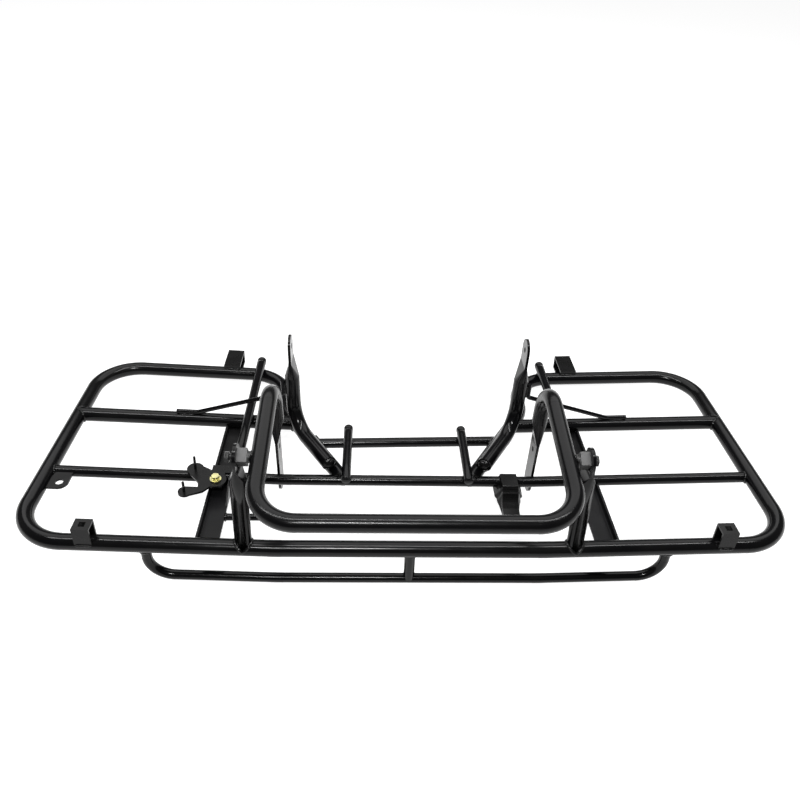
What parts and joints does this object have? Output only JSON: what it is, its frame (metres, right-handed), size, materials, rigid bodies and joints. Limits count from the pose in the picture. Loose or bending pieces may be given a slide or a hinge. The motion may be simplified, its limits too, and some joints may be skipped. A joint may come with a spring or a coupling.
{
  "type": "quad bike rear rack",
  "caption": "Welded tubular rear load rack for a quad bike with tail guard loop, frame legs, braces, straps and brackets, lying upside down.",
  "frame": {"origin": "on the axis of the rear tube, halfway along it", "axes": "+X across the bike, towards the right of the picture; +Y from the rear tube towards the seat; +Z towards the bike's frame, which is up while the rack lies upside down as in the picture"},
  "size_m": [1.0618, 0.5392, 0.2459],
  "materials": {
    "black_paint": "gloss",
    "dark_bolt": "satin",
    "yellow_zinc": "satin"
  },
  "bodies": {
    "root": {"perimeter_tube": "black_paint", "main_bar": "black_paint", "seat_bar": "black_paint", "wing_bar_left": "black_paint", "wing_bar_right": "black_paint", "thin_rod": "black_paint", "strap_left": "black_paint", "strap_right": "black_paint", "lip_rail": "black_paint", "lip_post": "black_paint", "tail_guard": "black_paint", "guard_boss_left": "black_paint", "guard_boss_right": "black_paint", "brace_left": "black_paint", "brace_right": "black_paint", "front_leg_left": "black_paint", "front_leg_right": "black_paint", "leg_stay_left": "black_paint", "leg_stay_right": "black_paint", "centre_pin_left": "black_paint", "centre_pin_right": "black_paint", "outer_pin_left": "black_paint", "outer_pin_right": "black_paint", "rear_bracket_left": "black_paint", "rear_bracket_right": "black_paint", "front_bracket_left": "black_paint", "front_bracket_right": "black_paint", "tie_tab": "black_paint", "hook_plate": "black_paint", "hook_bracket": "black_paint", "clip_bracket": "black_paint", "guard_bolt_left": "dark_bolt", "guard_bolt_right": "dark_bolt", "hook_bolt": "yellow_zinc"}
  },
  "joints": []
}
